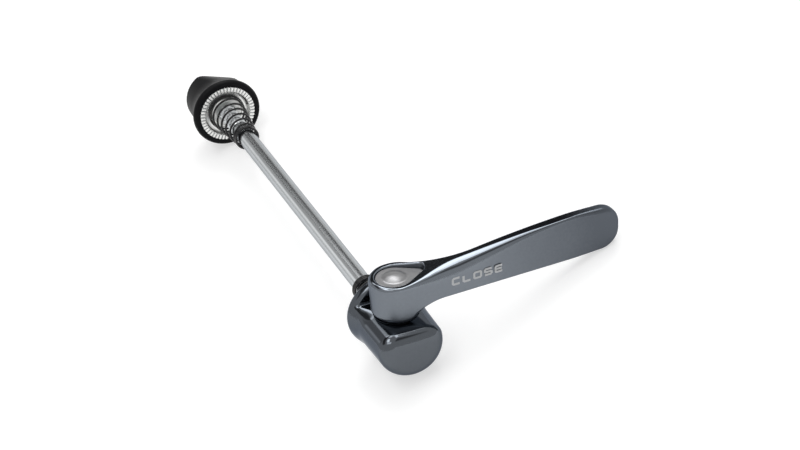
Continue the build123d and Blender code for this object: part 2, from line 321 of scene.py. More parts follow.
# %% Lever outlines
def circle_through(a, b, c):
    """Centre and radius of the circle through three points of a plane."""
    (ax, ay), (bx, by), (cx, cy) = a, b, c
    system = 2 * np.array([[bx - ax, by - ay], [cx - ax, cy - ay]])
    centre = np.linalg.solve(system, [bx**2 - ax**2 + by**2 - ay**2, cx**2 - ax**2 + cy**2 - ay**2])
    return centre, hypot(ax - centre[0], ay - centre[1])


def lever_plan(x, y, z):
    """Barrel, arm and the hollow neck between them, seen along the pivot; and the front alone."""
    along = x * cos(lean) + y * sin(lean)
    inward = y * cos(lean) - x * sin(lean)
    near = np.clip(along, -ease_run, ease_run)
    rise = np.clip((z - arm_bottom) / (arm_top_at_tip - arm_bottom), 0, 1)
    lie_back = front_lie_back * rise * swell(x, *lie_back_span)
    front = (lie_back - inward - front_curve(near)) / np.hypot(1, front_slope(near))
    back_along = along * cos(taper) - inward * sin(taper)
    back_out = along * sin(taper) + inward * cos(taper)
    back_line = (arm_root - barrel_radius) * cos(taper)
    barrel = np.hypot(x, y) - barrel_radius
    arm = np.maximum(np.maximum(front, back_out - back_line), -ease_run - along)
    neck_out = back_line + neck_radius
    neck_along = ((barrel_radius + neck_radius) ** 2 - neck_out**2) ** 0.5
    beyond = (back_out * neck_along - back_along * neck_out) / (barrel_radius + neck_radius)
    neck = neck_radius - np.hypot(back_along - neck_along, back_out - neck_out)
    neck = np.maximum(neck, back_along - neck_along)
    neck = np.maximum(neck, np.maximum(beyond, back_line - neck_depth - back_out))
    before = along < -ease_run
    outline = np.where(before, barrel, np.minimum(np.minimum(barrel, arm), neck))
    return outline, np.where(before, barrel, front)


def lever_side(x, z):
    """Rim, arched arm, round tip and hollow under the neck, seen from the front; and the top alone."""
    middle = ((rim_flat + lever_length) / 2, (barrel_top + arm_top_at_tip) / 2 + arm_top_rise)
    centre, radius = circle_through((rim_flat, barrel_top), middle, (lever_length, arm_top_at_tip))
    top = blend(z - barrel_top, np.hypot(x - centre[0], z - centre[1]) - radius, rim_ease)
    run, drop = hollow_end - hollow_start, arm_bottom - barrel_bottom
    hollow_radius = (run**2 + drop**2) / (2 * drop)
    hollow = hollow_radius - np.hypot(x - hollow_end, z - arm_bottom + hollow_radius)
    under = meet(barrel_bottom - z, np.where(x < hollow_end, hollow, arm_bottom - z), hollow_round)
    end = x - lever_length
    return np.maximum(meet(top, end, tip_radius), meet(under, end, tip_radius)), top


# %% Lever
edge_round = 0.6
foot_round, foot_span = 0.6, (6.5, 9.0)
tip_round, tip_span = 0.9, (44.0, 57.0)
rim_round, rim_span = 0.4, (1.0, 5.0)
thumb_round, thumb_span = 2.9, (-1.5, 15.0, 8.0, 44.0)
recess_round = 0.3


def lever_field(p):
    x, y, z = p[..., 0], p[..., 1] - cam_station, p[..., 2]
    plan, front = lever_plan(x, y, z)
    widening = (z - barrel_bottom) * draft
    side, top = lever_side(x, z)
    edge = edge_round + foot_round * (1 - ease(z, *foot_span))
    edge = edge + tip_round * ease(x, *tip_span) + rim_round * ease(-x, *rim_span)
    body = meet(plan - widening, side, edge)
    thumb = edge_round + thumb_round * swell(x, *thumb_span)
    body = np.maximum(body, meet(front - widening, top, thumb))
    pad = teardrop(x, y, *recess)
    body = meet(body, -np.maximum(pad, head_bottom - z), recess_round)
    return np.maximum(body, bore_radius - np.hypot(x, y))


lever = skin("lever_forging", lever_field, lever_low, lever_high, cell=0.26)

# %% [markdown]
# ## The cam housing
# The housing is turned from the bar: a flange that presses on the fork end, and behind it a body that
# tapers to a slightly crowned end. A saddle is then milled across it for the lever's barrel, open on
# three sides, with long edges that look soft. Underneath are the bore of the cam shaft, the pocket of
# the clamp disc and the chamber of the rod's eye. Booleans could cut a turned mesh, but the soft edges
# change their radius along their length, which a field does at once.

# %% Cam housing sizes
housing_low, housing_high = upright_box("cam_housing")
flange_radius = housing_high[0]
flange_front = housing_high[1]
flange_back = -2.2
flange_slope = radians(32)
flange_front_round, flange_back_round = 0.7, 1.3
flange_ease = 1.4
root_radius = 8.65
end_radius = 8.15
end_station = -19.9
end_crown = end_station - housing_low[1]
end_round = 2.8
saddle_height = 4.45
saddle_wall = -2.7
saddle_fillet = 0.8
saddle_round, saddle_round_more, saddle_round_span = 1.0, 2.0, (2.7, 9.0)
washer_seat = (5.42, 4.15)
disc_pocket = (7.72, -1.92)
cam_bore = (4.25, -2.55)
eye_chamber = (6.0, 2.55, -15.4)
print(f"the housing's end is crowned by {end_crown:.2f} mm")


# %% Cam housing
def housing_field(p):
    x, y, z = p[..., 0], p[..., 1], p[..., 2]
    r = np.hypot(x, z)
    narrowing = (root_radius - end_radius) / (saddle_wall - end_station)
    cone = (r - end_radius - (y - end_station) * narrowing) * cos(atan2(narrowing, 1))
    crown_radius = (end_radius**2 + end_crown**2) / (2 * end_crown)
    crown = np.hypot(r, y - housing_low[1] - crown_radius) - crown_radius
    body = meet(np.maximum(cone, y - flange_front), crown, end_round)
    slope = (r - flange_radius) * cos(flange_slope) + (flange_back - y) * sin(flange_slope)
    flange = meet(r - flange_radius, y - flange_front, flange_front_round)
    body = blend(meet(flange, slope, flange_back_round), body, flange_ease)
    keep = join(z - saddle_height, saddle_wall - y, saddle_fillet)
    body = meet(body, keep, saddle_round + saddle_round_more * ease(-y, *saddle_round_span))
    body = np.maximum(body, -np.maximum(r - disc_pocket[0], disc_pocket[1] - y))
    around_pivot = np.hypot(x, y - cam_station)
    for radius, level in (washer_seat, cam_bore):
        body = np.maximum(body, -np.maximum(around_pivot - radius, level - z))
    half_width, half_height, chamber_end = eye_chamber
    chamber = np.maximum(np.abs(x) - half_width, np.abs(z) - half_height)
    return np.maximum(body, -np.maximum(chamber, chamber_end - y))


housing = skin("housing_forging", housing_field, housing_low, housing_high, cell=0.24)

# %% [markdown]
# ## The cam shaft
# Only its head shows: a satin teardrop keyed into the lever, with a low dome where the end was pressed
# over. Below it are the journal in the housing, the eccentric in the rod's eye and the pilot. These
# could be turned, but the teardrop could not, so the shaft is a field, and its head is the lever's
# recess made a little smaller.

# %% Cam shaft
dome = (2.95, 0.8)
cam_throw = 1.1
head_gap, head_seat, head_round, dome_fillet = 0.1, 0.03, 0.2, 0.15
journal_radius, journal_sink = 4.2, 0.3
eccentric_radius, eccentric_half = 2.8, 2.55
pilot_radius, pilot_bottom = 1.6, -6.15
groove_radius, groove_level, groove_half = 1.1, -4.35, 0.85
overlap = 0.05


def cam_field(p):
    x, y, z = p[..., 0], p[..., 1] - cam_station, p[..., 2]
    r = np.hypot(x, y)
    head = meet(teardrop(x, y, *(size - head_gap for size in recess)), z - head_top, head_round)
    ball_radius = (dome[0] ** 2 + dome[1] ** 2) / (2 * dome[1])
    cap = np.hypot(r, z - head_top - dome[1] + ball_radius) - ball_radius
    head = np.maximum(join(head, cap, dome_fillet), head_bottom + head_seat - z)
    journal = np.maximum(r - journal_radius, between(z, eccentric_half, head_top - journal_sink))
    slab = between(z, -eccentric_half, eccentric_half + overlap)
    eccentric = np.maximum(np.hypot(x, y + cam_throw) - eccentric_radius, slab)
    pilot = np.maximum(r - pilot_radius, between(z, pilot_bottom, overlap - eccentric_half))
    groove = np.maximum(groove_radius - r, np.abs(z - groove_level) - groove_half)
    pilot = np.maximum(pilot, -groove)
    return np.minimum(np.minimum(head, journal), np.minimum(eccentric, pilot))


cam = skin("cam_shaft_turned", cam_field, *upright_box("cam_shaft"), cell=0.17)

# %% [markdown]
# ## The nut's cover
# A black moulding with a rolled rim, a waist and two finger flats that lean in towards its end.
# Boolean cuts would leave hard edges, so a turned field is cut by two leaning planes, with round edges
# where a moulding tool has them.

# %% Nut cover
cover_low, cover_high = upright_box("nut_cover")
rim_radius = 10.15
waist = (8.6, nut_station + 4.6)
cover_end = (8.35, cover_high[1])
rim_front = (rim_radius - 0.675, nut_station + 0.3)
rim_top = (rim_radius, nut_station + 1.35)
waist_ease, rim_edge, front_edge, end_edge = 1.2, 0.6, 0.25, 1.9
flat_turn = radians(17)
flat_start = nut_station + 4.5
flat_half_width = 5.6
flat_fillet, flat_edge = 1.5, 0.9
cover_bores = [(8.16, nut_station + 3.6), (5.42, nut_station + 11.8), (3.3, cover_end[1] + 1)]


def through(a, b, r, y):
    """Distance from the slanted line through two radius and station pairs, positive outside."""
    length = hypot(b[0] - a[0], b[1] - a[1])
    return ((r - a[0]) * (b[1] - a[1]) - (y - a[1]) * (b[0] - a[0])) / length


def cover_field(p):
    x, y, z = p[..., 0], p[..., 1], p[..., 2]
    r = np.hypot(x, z)
    outer = blend(through(rim_top, waist, r, y), through(waist, cover_end, r, y), waist_ease)
    outer = meet(outer, through(rim_front, rim_top, r, y), rim_edge)
    outer = meet(meet(outer, rim_front[1] - y, front_edge), y - cover_end[1], end_edge)
    across = np.abs(x * sin(flat_turn) + z * cos(flat_turn))
    slope = (waist[0] - flat_half_width) / (cover_end[1] - flat_start)
    flat = (across - waist[0] + (y - flat_start) * slope) * cos(atan2(slope, 1))
    outer = meet(outer, join(flat, y - flat_start, flat_fillet), flat_edge)
    for radius, depth in cover_bores:
        outer = np.maximum(outer, -np.maximum(r - radius, y - depth))
    return outer


cover = skin("nut_cover_moulding", cover_field, cover_low, cover_high, cell=0.26)

# %% [markdown]
# ## Turned pieces
# The rod, the nut's insert, the clamp disc and the small ring are turned on a lathe, so their meshes
# are an outline of radius and station pairs swept round the rod. A Screw modifier would do the same,
# but a function can also wave the radius for a thread and mark the corners of the outline sharp.

# %% Lathe
sharp_corner = radians(35)
bevel_share = 0.3


def lathe(name, outline, steps, closed=True, wave=None):
    """A turned mesh, smooth round the rod and sharp where its outline turns a corner."""
    outline = np.array(outline, float)
    angle = np.arange(steps) * 2 * pi / steps
    radius = outline[:, :1] * np.ones(steps)
    station = outline[:, 1:] * np.ones(steps)
    if wave is not None:
        radius = radius + wave(station, angle)
    points = np.stack([radius * np.sin(angle), station, radius * np.cos(angle)], axis=-1).reshape(-1, 3)
    rows = len(outline)
    faces = []
    for row in range(rows if closed else rows - 1):
        after = (row + 1) % rows
        for i in range(steps):
            j = (i + 1) % steps
            faces.append((row * steps + i, row * steps + j, after * steps + j, after * steps + i))
    if not closed:
        faces.append(tuple(range(steps))[::-1])
        faces.append(tuple(range((rows - 1) * steps, rows * steps)))
    piece = new_object(name, to_scene(points), faces)
    piece.data.set_sharp_from_angle(angle=sharp_corner)
    print(f"{name}: {len(faces)} faces from an outline of {rows} points")
    return piece


def crisp(outline, ease_by=0.06):
    """An outline with each corner cut to a hair's bevel, which catches the light."""
    outline = [np.array(point, float) for point in outline]
    eased = []
    for before, point, after in zip(outline[-1:] + outline[:-1], outline, outline[1:] + outline[:1]):
        for other in (before, after):
            gap = other - point
            eased.append(point + gap * min(ease_by / np.hypot(*gap), bevel_share))
    return eased


# %% [markdown]
# ## The skewer rod
# A thread is rolled into the end of the drawn rod, so that its ridges stand out a little. A swept
# helix would do, but it is simpler to let the lathe's radius follow one. The forged eye at the other
# end is a field.

# %% Skewer rod
rod_low, rod_high = upright_box("skewer_rod")
rod_end = rod_high[1]
rod_radius = 2.5
eye_station = cam_station - cam_throw
thread_start = 104.1
thread_pitch, thread_depth, thread_middle = 0.8, 0.24, 2.24
steps_per_turn = 8
fade_in, fade_out = 1.2, 1.4
chamfer = 0.5


def thread_wave(station, angle):
    """A rolled thread that fades in over a turn and a half and out at the chamfer."""
    phase = (station / thread_pitch - angle / (2 * pi)) % 1
    ridge = np.abs(2 * phase - 1) - 0.5
    fade = swell(station, thread_start, thread_start + fade_in, rod_end - fade_out, rod_end - chamfer)
    return 2 * thread_depth * ridge * fade


shank = (eye_station + 4.4, 50.0, thread_start - 0.3, thread_start)
turns = np.arange(thread_start + 0.3, rod_end - chamfer - 0.05, thread_pitch / steps_per_turn)
threaded = (thread_start + 0.26, *turns, rod_end - chamfer)
rod_outline = [(rod_radius, station) for station in shank]
rod_outline += [(thread_middle, station) for station in threaded]
rod_outline += [(thread_middle - 0.45, rod_end - 0.04), (thread_middle - chamfer, rod_end)]
rod = lathe("skewer_rod_drawn", rod_outline[::-1], steps=64, closed=False, wave=thread_wave)

# %% Eye of the rod
eye_radius, eye_half_flat, eye_half_height, eye_round = 4.7, 0.95, 2.3, 0.4
slot_radius, slot_half_flat = 3.1, 1.25
neck_end, neck_fillet = 4.6, 0.3


def eye_field(p):
    """The forged eye at the rod's end, with the slot in which the eccentric turns."""
    x, y, z = p[..., 0], p[..., 1] - eye_station, p[..., 2]
    outer = np.hypot(np.maximum(np.abs(x) - eye_half_flat, 0), y) - eye_radius
    body = meet(outer, np.abs(z) - eye_half_height, eye_round)
    slot = np.hypot(np.maximum(np.abs(x) - slot_half_flat, 0), y) - slot_radius
    neck = np.maximum(np.hypot(x, z) - rod_radius, between(y, 0, neck_end))
    return np.maximum(join(body, neck, neck_fillet), -slot)


eye_high = np.array([rod_high[0], eye_station + neck_end + 0.2, rod_high[2]])
eye = skin("skewer_rod_eye", eye_field, rod_low, eye_high, cell=0.25)
print(f"rod {rod_end - rod_low[1]:.1f} mm long with its eye, thread from {thread_start} mm")

# %% [markdown]
# ## Insert, clamp disc and lock ring
# The nut's steel insert has a toothed ring, a dished floor and a boss round the rod. The clamp disc on
# the lever side is flatter, and a nylon ring behind the nut's thread keeps it from turning by itself.
# Each is an outline for the lathe, and the teeth come later, as copies of one tooth.

# %% Nut insert
tooth_depth = 0.45
ring_radius, ring_width = 8.14, 1.5
ring_inner, ring_floor = ring_radius - ring_width, nut_station + tooth_depth
dish = nut_station + 1.6
boss_radius, boss_front = 4.6, nut_station + 0.6
insert_step, insert_end, lock_start = nut_station + 3.6, nut_station + 11.8, nut_station + 9.6
insert_outline = [
    (2.3, boss_front + 0.3), (2.6, boss_front), (4.0, boss_front), (4.3, boss_front + 0.08),
    (4.52, boss_front + 0.3), (boss_radius, boss_front + 0.6), (boss_radius, dish - 0.1),
    (4.7, dish), (5.9, dish - 0.04), (6.25, dish - 0.16), (6.5, dish - 0.4),
    (ring_inner, ring_floor), (ring_radius, ring_floor), (ring_radius, insert_step),
    (5.4, insert_step), (5.4, insert_end), (4.0, insert_end), (4.0, lock_start), (2.3, lock_start),
]
insert = lathe("nut_insert_turned", crisp(insert_outline), steps=144)

# %% Clamp disc and lock ring
disc_radius, disc_ring = 7.7, 1.6
disc_inner, disc_dish, disc_bore, disc_back = disc_radius - disc_ring, -1.2, 2.55, -1.9
disc_outline = [
    (disc_bore, disc_back), (disc_radius, disc_back), (disc_radius, -tooth_depth),
    (disc_inner, -tooth_depth), (disc_inner - 0.05, disc_dish + 0.35),
    (5.75, disc_dish), (disc_bore, disc_dish),
]
disc = lathe("clamp_disc_turned", crisp(disc_outline)[::-1], steps=144)

lock_bore, lock_radius, lock_front = 2.3, 3.98, lock_start + 0.02
lock_outline = [
    (lock_bore, lock_front), (lock_radius, lock_front),
    (lock_radius, insert_end), (lock_bore, insert_end),
]
lock_ring = lathe("nut_lock_ring_moulded", crisp(lock_outline, ease_by=0.15)[::-1], steps=96)

# %% [markdown]
# ## Nodes as expressions
# Geometry Nodes and materials are both graphs of nodes. Clicking them together teaches little and reads
# badly as code, so a small class wraps a socket: adding or multiplying two of them adds a Math node.
# Any other node comes from one method, which sets its settings first and its sockets after.

# %% Node helper
class Value:
    """A socket that can be used in a Python expression."""

    def __init__(self, graph, socket):
        self.graph, self.socket = graph, socket

    def out(self, name):
        return Value(self.graph, self.socket.node.outputs[name])

    def math(self, operation, *others):
        sockets = dict(enumerate((self, *others)))
        return self.graph.add("ShaderNodeMath", sockets, operation=operation)

    def clamped(self):
        return self.graph.add("ShaderNodeClamp", {"Value": self})

    def __add__(self, other):
        return self.math("ADD", other)

    def __mul__(self, other):
        return self.math("MULTIPLY", other)

    def __sub__(self, other):
        return self.math("SUBTRACT", other)

    def __truediv__(self, other):
        return self.math("DIVIDE", other)

    def __rsub__(self, other):
        return self.graph.add("ShaderNodeMath", {0: other, 1: self}, operation="SUBTRACT")

    __radd__ = __add__
    __rmul__ = __mul__


class Graph:
    """A node tree that is written as expressions."""

    def __init__(self, tree):
        self.tree = tree

    def add(self, kind, sockets=None, **settings):
        node = self.tree.nodes.new(kind)
        for key, setting in settings.items():
            if key == "stops":
                for element, (position, colour) in zip(node.color_ramp.elements, setting):
                    element.position, element.color = position, colour
            else:
                setattr(node, key, setting)
        for key, item in (sockets or {}).items():
            if isinstance(item, Value):
                self.tree.links.new(item.socket, node.inputs[key])
            else:
                node.inputs[key].default_value = item
        return Value(self, node.outputs[0]) if node.outputs else node

    def dot(self, a, b):
        return self.add("ShaderNodeVectorMath", {0: a, 1: b}, operation="DOT_PRODUCT").out("Value")


def fresh_graph(owner):
    """The emptied node tree of a material or a world."""
    owner.use_nodes = True
    owner.node_tree.nodes.clear()
    return Graph(owner.node_tree)


# %% Geometry Nodes recipe
class Recipe(Graph):
    """A Geometry Nodes tree with named inputs."""

    def __init__(self, name, inputs):
        super().__init__(bpy.data.node_groups.new(name, "GeometryNodeTree"))
        self.keys = {}
        for label, kind in inputs.items():
            self.keys[label] = self.socket(label, "INPUT", kind).identifier
        self.socket("Geometry", "OUTPUT", "Geometry")
        self.entry = self.tree.nodes.new("NodeGroupInput")

    def socket(self, label, side, kind):
        return self.tree.interface.new_socket(label, in_out=side, socket_type="NodeSocket" + kind)

    def input(self, label):
        return Value(self, self.entry.outputs[label])

    def finish(self, geometry):
        geometry = self.add("GeometryNodeRealizeInstances", {"Geometry": geometry})
        coated = {"Geometry": geometry, "Material": self.input("Finish")}
        self.add("NodeGroupOutput", {"Geometry": self.add("GeometryNodeSetMaterial", coated)})
        print(f"{self.tree.name}: {len(self.tree.nodes)} nodes")

    def make(self, name, values, place):
        """Runs the recipe and returns a plain mesh object, at its place in the upright frame."""
        holder = add_object(name + "_recipe", bpy.data.meshes.new(name))
        modifier = holder.modifiers.new("recipe", "NODES")
        modifier.node_group = self.tree
        for label, value in values.items():
            modifier[self.keys[label]] = value
        depsgraph = bpy.context.evaluated_depsgraph_get()
        mesh = bpy.data.meshes.new_from_object(holder.evaluated_get(depsgraph))
        holder.modifiers.remove(modifier)
        bpy.data.objects.remove(holder)
        to_metres = Matrix.Diagonal((MM, MM, MM, 1))
        mesh.transform(Matrix.Rotation(roll, 4, "Y") @ to_metres @ place)
        mesh.shade_smooth()
        print(f"{name}: {len(mesh.polygons)} faces from the recipe {self.tree.name}")
        return add_object(name, mesh)


# %% [markdown]
# ## Finishes
# Each finish is a Principled shader with the detail of the real surface, on the piece's own coordinates,
# so that it stays put when a joint moves. Image textures would need unwrapping, and noise needs none.

# %% Finish helper
def finish(name, constants, build, **numbers):
    """A Principled material with constant sockets, and varying ones from a function and its numbers."""
    material = bpy.data.materials.new(name)
    graph = fresh_graph(material)
    shader = graph.add("ShaderNodeBsdfPrincipled", {**constants, **build(graph, **numbers)})
    graph.add("ShaderNodeOutputMaterial", {"Surface": shader})
    return material


def noise(graph, scale, stretch=(1, 1, 1)):
    """Noise on the piece's own coordinates, in metres, from about 0 to 1."""
    spot = graph.add("ShaderNodeTexCoord").out("Object")
    spot = graph.add("ShaderNodeMapping", {"Vector": spot, "Scale": stretch})
    return graph.add("ShaderNodeTexNoise", {"Vector": spot, "Scale": scale, "Detail": 3.0})


def tint(graph, share, dark, light):
    """A colour between two, by a share from 0 to 1."""
    stops = [(0.0, (*dark, 1)), (1.0, (*light, 1))]
    return graph.add("ShaderNodeValToRGB", {"Fac": share}, stops=stops).out("Color")


def bump(graph, height, strength, distance):
    sockets = {"Height": height, "Strength": strength, "Distance": distance}
    return graph.add("ShaderNodeBump", sockets).out("Normal")


# %% [markdown]
# The plated forgings are dark bright metal: the base colour is low, so that a white studio reflects as
# mid grey and only the brightest cards as white. Tops were polished and sides left satin, which the
# surface's own direction tells apart, and the lever grows more satin towards its tip. Its base colour
# is also darkened towards the tip, as painted shade. Worn edges come from the attribute kept by the
# skin.

# %% Plated forgings
# Painted shade: the lever's base colour darkens between these two places along x, in metres
painted_tip_shade_span = (0.022, 0.056)
satin_tip = (0.046, 0.058)
middle_tone, tone_mottle, edge_tone = 0.46, 0.15, 0.1
gloss_mottle, edge_gloss = 0.05, 0.03


def ramp(value, start, end):
    """0 before start, 1 after end, and a straight rise between."""
    return ((value - start) / (end - start)).clamped()


def plated(graph, tones, gloss, side_satin, painted_tip_shade=0.0):
    edge = graph.add("ShaderNodeAttribute", attribute_name="edge").out("Fac")
    cloud, fine = noise(graph, 60.0), noise(graph, 1500.0)
    spot = graph.add("ShaderNodeTexCoord")
    along = graph.add("ShaderNodeSeparateXYZ", {"Vector": spot.out("Object")}).out("X")
    up = graph.dot(spot.out("Normal"), (sin(roll), 0.0, cos(roll)))
    side = (1.1 - up * 1.4).clamped().math("MAXIMUM", ramp(along, *satin_tip))
    tone = (cloud - 0.5) * tone_mottle + (fine - 0.5) * tone_mottle + middle_tone + edge * edge_tone
    # Painted shade: the base colour darkens towards the lever's tip
    tone = tone - ramp(along, *painted_tip_shade_span) * painted_tip_shade
    rough = gloss + side * side_satin + (cloud - 0.5) * gloss_mottle + (fine - 0.5) * gloss_mottle
    return {
        "Base Color": tint(graph, tone.clamped(), *tones),
        "Roughness": rough - edge * edge_gloss,
        "Normal": bump(graph, fine, 0.015, 0.00002),
    }


dark_edges = {"Metallic": 1.0, "Specular Tint": (0.5, 0.52, 0.56, 1)}
housing_tones = (0.060, 0.066, 0.076), (0.165, 0.181, 0.200)
lever_tones = (0.098, 0.109, 0.126), (0.275, 0.302, 0.334)
gunmetal = finish(
    "plated_gunmetal", dark_edges, plated, tones=housing_tones, gloss=0.11, side_satin=0.08,
)
lever_gunmetal = finish(
    "lever_gunmetal", dark_edges, plated, tones=lever_tones, gloss=0.09, side_satin=0.25, painted_tip_shade=0.5,
)
print(gunmetal.name, "and", lever_gunmetal.name)

# %% [markdown]
# The rod is drawn steel whose gloss varies in fine lines along it. Shade gathers between the teeth of
# the clamp faces, so their colour follows an attribute that is 1 on each crest.

# %% Rod and teeth
def drawn_steel(graph):
    lines, cloud = noise(graph, 1600.0, (1.0, 0.02, 1.0)), noise(graph, 70.0)
    colour = tint(graph, cloud, (0.57, 0.59, 0.60), (0.63, 0.65, 0.66))
    return {"Base Color": colour, "Roughness": 0.18 + lines * 0.03}


def toothed_zinc(graph):
    crest = graph.add("ShaderNodeAttribute", attribute_name="crest").out("Fac")
    cloud = noise(graph, 400.0)
    share = (crest * 1.5 + cloud * 0.4 - 0.3).clamped()
    colour = tint(graph, share, (0.22, 0.24, 0.26), (0.92, 0.92, 0.90))
    return {"Base Color": colour, "Roughness": 0.16 + cloud * 0.14}


metal = {"Metallic": 1.0}
steel = finish("drawn_steel", {**metal, "Specular Tint": (0.45, 0.46, 0.48, 1)}, drawn_steel)
tooth_zinc = finish("toothed_zinc", metal, toothed_zinc)
print(steel.name, "and", tooth_zinc.name)

# %% [markdown]
# The other finishes differ only in their numbers: cloudy zinc on the clamp faces, the satin head of the
# cam shaft, glossy black springs, the cover's grained moulding, blue nylon and pale ink.

# %% Grained finishes
def grained(graph, tones, scale, rough, rough_more, clouds=None, relief=None):
    """Colour and roughness that follow a grain, with wider clouds and a relief where they are given."""
    grain = share = noise(graph, scale)
    if clouds is not None:
        cloud_scale, weight = clouds
        share = noise(graph, cloud_scale) * weight + grain * (1 - weight)
    sockets = {"Base Color": tint(graph, share, *tones), "Roughness": rough + grain * rough_more}
    if relief is not None:
        sockets["Normal"] = bump(graph, grain, *relief)
    return sockets


zinc_tones = (0.72, 0.73, 0.72), (0.92, 0.92, 0.90)
head_tones = (0.24, 0.24, 0.25), (0.33, 0.33, 0.33)
wire_tones = (0.003, 0.003, 0.0035), (0.010, 0.010, 0.011)
wire_gloss = {"Specular IOR Level": 0.35, "Coat Weight": 0.15, "Coat Roughness": 0.05}
cover_tones = (0.0020, 0.0020, 0.0026), (0.0055, 0.0055, 0.0066)
nylon_tones = (0.10, 0.17, 0.38), (0.14, 0.23, 0.46)
ink_tones = (0.42, 0.43, 0.44), (0.52, 0.53, 0.54)
zinc = finish("satin_zinc", metal, grained, tones=zinc_tones, scale=220.0, rough=0.22, rough_more=0.14)
satin = finish(
    "satin_steel", metal, grained, tones=head_tones, scale=2600.0, rough=0.32, rough_more=0.12,
    clouds=(160.0, 0.6), relief=(0.12, 0.00003),
)
wire = finish(
    "black_spring_wire", wire_gloss, grained, tones=wire_tones, scale=700.0, rough=0.12, rough_more=0.14,
)
moulding = finish(
    "black_moulding", {"Specular IOR Level": 0.1}, grained, tones=cover_tones, scale=2200.0,
    rough=0.38, rough_more=0.14, clouds=(120.0, 0.5), relief=(0.18, 0.00005),
)
blue_nylon = finish(
    "blue_nylon", {"Specular IOR Level": 0.4}, grained, tones=nylon_tones, scale=900.0,
    rough=0.45, rough_more=0.1,
)
print_ink = finish(
    "pale_print", {"Specular IOR Level": 0.3}, grained, tones=ink_tones, scale=3000.0,
    rough=0.42, rough_more=0.12,
)
print(len(bpy.data.materials), "finishes")

# %% [markdown]
# ## The springs
# Each spring is one length of black wire wound on a cone, with a flat turn at its wide end and closed
# turns at its narrow end, where it grips the rod. A curve bent by hand would never be even. Geometry
# Nodes follow a rule: a line is cut into many points, each point is moved on to the cone by its place
# along the line, and a circle is swept along it.

# %% Spring recipe
line_points, section_points = 480, 14
closed_pitch = 2.06
spring = Recipe("Conical spring", {
    "Turns": "Float", "Flat turns": "Float", "Closed turns": "Float", "Length": "Float",
    "Wide radius": "Float", "Narrow radius": "Float", "Wire radius": "Float", "Finish": "Material",
})
size = spring.input
line = spring.add("GeometryNodeCurvePrimitiveLine", {"End": (0.0, 0.0, 1.0)})
line = spring.add("GeometryNodeResampleCurve", {"Curve": line, "Count": line_points})
wound = spring.add("GeometryNodeSplineParameter").out("Factor") * size("Turns")
open_turns = size("Turns") - size("Flat turns") - size("Closed turns")
opened = ((wound - size("Flat turns")) / open_turns).clamped()
closed_rise = size("Wire radius") * closed_pitch
open_rise = size("Length") - closed_rise * size("Closed turns")
past_open = (wound - size("Turns") + size("Closed turns")).math("MAXIMUM", 0.0)
narrowing = (size("Narrow radius") - size("Wide radius")) * opened
coil_radius = size("Wide radius") + narrowing
coil_angle = wound * (2 * pi)
coil_spot = spring.add("ShaderNodeCombineXYZ", {
    "X": coil_radius * coil_angle.math("COSINE"), "Y": coil_radius * coil_angle.math("SINE"),
    "Z": opened * open_rise + past_open * closed_rise,
})
coil = spring.add("GeometryNodeSetPosition", {"Geometry": line, "Position": coil_spot})
section = {"Resolution": section_points, "Radius": size("Wire radius")}
section = spring.add("GeometryNodeCurvePrimitiveCircle", section)
sweep = {"Curve": coil, "Profile Curve": section, "Fill Caps": True}
spring.finish(spring.add("GeometryNodeCurveToMesh", sweep))

# %% Both springs
wire_radius = 0.3
grip_gap, seat_gap = 0.4, 0.1


def along_rod(station, quarter):
    """A place on the rod whose z axis is turned by a quarter, to point along the rod or back."""
    return Matrix.Translation((0, station, 0)) @ Matrix.Rotation(radians(quarter), 4, "X")


def wind(name, turns, length, wide_radius, place):
    """A spring whose wide turn lies at its place."""
    return spring.make(name, {
        "Turns": turns, "Flat turns": 0.6, "Closed turns": 2.6, "Length": length,
        "Wide radius": wide_radius, "Narrow radius": rod_radius + grip_gap + wire_radius,
        "Wire radius": wire_radius, "Finish": wire,
    }, place)


seat = wire_radius + seat_gap
nut_spring = wind("nut_spring_coil", 9.2, 18.0, 5.1, along_rod(dish - seat, 90))
lever_spring = wind("lever_spring_coil", 7.2, 12.0, 5.3, along_rod(disc_dish + seat, -90))

# %% [markdown]
# ## The teeth of the clamp faces
# Both clamp faces bite into the fork ends with a ring of radial teeth. An Array modifier could turn
# copies round the rod, but in a recipe the number of teeth is an input. One tooth is modelled, wider
# towards the outside, with a rounded crest, and the recipe stands copies of it round a circle.

# %% One tooth
# Across the tooth: shares of its half width and height. Along it: distance from an end, share of height
tooth_profile = [
    (-0.96, 0.0), (-0.62, 0.58), (-0.40, 0.90), (-0.18, 1.0),
    (0.18, 1.0), (0.40, 0.90), (0.62, 0.58), (0.96, 0.0),
]
tooth_ends = [(0.02, 0.72), (0.10, 0.96), (0.3, 1.0)]
tooth_sink = 0.02
tooth_count = 48


def tooth_mesh(name, inner, outer):
    """A ridge along x with sloping flanks, from an inner to an outer radius."""
    cuts = [(inner + d, s) for d, s in tooth_ends] + [(outer - d, s) for d, s in tooth_ends[::-1]]
    widening = tan(pi / tooth_count)
    points = [
        (r, r * widening * w, tooth_depth * h * s - tooth_sink)
        for r, s in cuts for w, h in tooth_profile
    ]
    width = len(tooth_profile)
    faces = []
    for row in range(len(cuts) - 1):
        for i in range(width - 1):
            a = row * width + i
            faces.append((a, a + width, a + width + 1, a + 1))
    faces.append(tuple(range(width)))
    faces.append(tuple(range((len(cuts) - 1) * width, len(cuts) * width))[::-1])
    mesh = bpy.data.meshes.new(name)
    mesh.from_pydata(points, [], faces)
    crest = mesh.attributes.new("crest", "FLOAT", "POINT")
    crest.data.foreach_set("value", [h for _ in cuts for _, h in tooth_profile])
    return mesh


